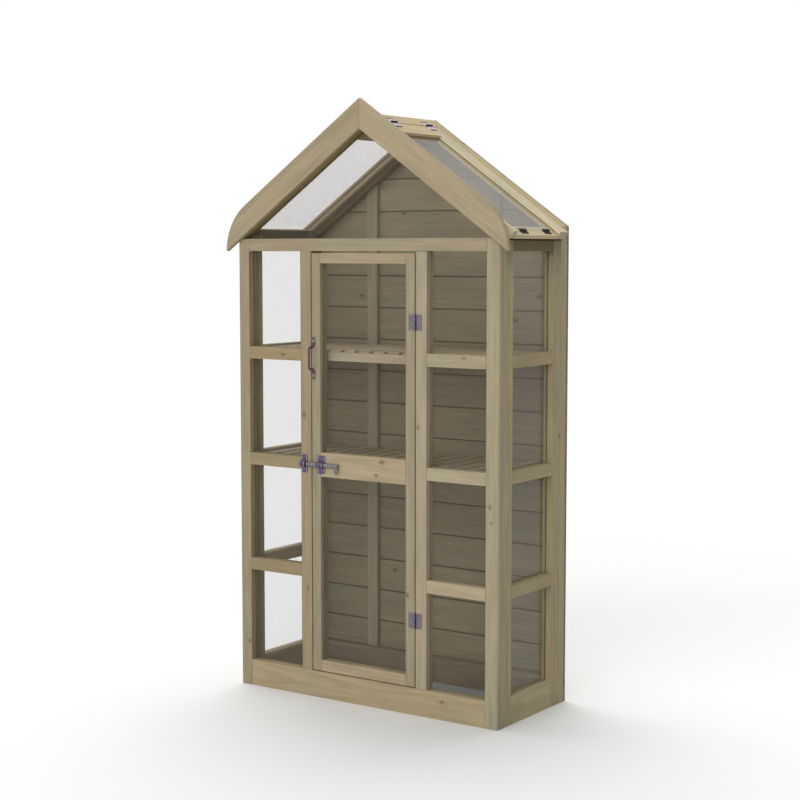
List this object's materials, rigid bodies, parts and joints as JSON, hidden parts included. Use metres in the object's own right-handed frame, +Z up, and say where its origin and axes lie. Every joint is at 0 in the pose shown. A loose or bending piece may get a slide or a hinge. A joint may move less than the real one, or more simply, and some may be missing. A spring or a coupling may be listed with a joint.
{
  "type": "wooden lean-to greenhouse",
  "caption": "Tall shallow timber greenhouse for standing against a wall: glazed front, sides and gabled roof, boarded back, hinged door, opening roof vent and slatted shelves.",
  "frame": {"origin": "on the ground, in the middle of the overall plan", "axes": "+X to the right across the front, +Y from the front towards the wall, +Z up"},
  "size_m": [1.204, 0.4984, 2.1397],
  "materials": {
    "front_timber": "pressure treated softwood, planed, weathered to a greenish tan, satin",
    "side_timber": "pressure treated softwood, planed, weathered to a greenish tan, satin",
    "back_timber": "pressure treated softwood, planed, weathered to a greenish tan, satin",
    "roof_timber": "pressure treated softwood, planed, weathered to a greenish tan, satin",
    "door_timber": "pressure treated softwood, planed, weathered to a greenish tan, satin",
    "shelf_timber": "pressure treated softwood, planed, weathered to a greenish tan, satin",
    "clear_glazing": "clear horticultural glazing",
    "zinc_hinge": "zinc plated, slightly violet grey",
    "dark_steel": "dark lacquered steel with a soft sheen",
    "clip_black": "black coated strip"
  },
  "bodies": {
    "root": {"front_post_left": "front_timber", "front_post_right": "front_timber", "front_mullion_left": "front_timber", "front_mullion_right": "front_timber", "front_top_rail": "front_timber", "front_plinth": "front_timber", "front_rails_left": "front_timber", "front_rails_right": "front_timber", "front_panes_left": "clear_glazing", "front_panes_right": "clear_glazing", "gable_pane": "clear_glazing", "front_rafter_left": "front_timber", "front_rafter_right": "front_timber", "bargeboard_left": "front_timber", "bargeboard_right": "front_timber", "side_stiles_left": "side_timber", "side_rails_left": "side_timber", "side_top_rail_left": "side_timber", "side_plinth_left": "side_timber", "side_panes_left": "clear_glazing", "side_stiles_right": "side_timber", "side_rails_right": "side_timber", "side_top_rail_right": "side_timber", "side_plinth_right": "side_timber", "side_panes_right": "clear_glazing", "back_posts": "back_timber", "back_battens": "back_timber", "back_plinth": "back_timber", "back_rafter_left": "back_timber", "back_rafter_right": "back_timber", "back_boards": "back_timber", "ridge_beam": "roof_timber", "roof_stiles_left": "roof_timber", "roof_rails_left": "roof_timber", "roof_pane_left": "clear_glazing", "vent_hinge_fixed_leaves": "zinc_hinge", "vent_hinge_pins": "zinc_hinge", "door_hinge_fixed_leaves": "zinc_hinge", "door_hinge_pins": "zinc_hinge", "door_stop": "door_timber", "bolt_keep": "dark_steel", "shelf_bearers": "shelf_timber", "shelf_slats": "shelf_timber"},
    "door": {"door_stile_lock": "door_timber", "door_stile_hinge": "door_timber", "door_rails": "door_timber", "door_pane_upper": "clear_glazing", "door_pane_lower": "clear_glazing", "door_hinge_moving_leaves": "zinc_hinge", "door_handle": "dark_steel", "bolt_strap": "dark_steel"},
    "bolt": {"bolt_rod": "dark_steel"},
    "vent": {"vent_stiles": "roof_timber", "vent_head_rail": "roof_timber", "vent_foot_rail": "roof_timber", "vent_pane": "clear_glazing", "vent_pane_clips": "clip_black", "vent_hinge_moving_leaves": "zinc_hinge"}
  },
  "joints": [
    {"name": "door_hinge", "type": "hinge", "parent": "root", "child": "door", "pos_m": [0.2245, -0.22045, 0.85], "axis": [0, 0, 1], "range_deg": [0, 170]},
    {"name": "bolt_slide", "type": "slide", "parent": "door", "child": "bolt", "axis": [-1, 0, 0], "range_m": [0, 0.046]},
    {"name": "vent_hinge", "type": "hinge", "parent": "root", "child": "vent", "pos_m": [0.04431, 0, 2.06558], "axis": [0, -1, 0], "range_deg": [0, 60]}
  ]
}
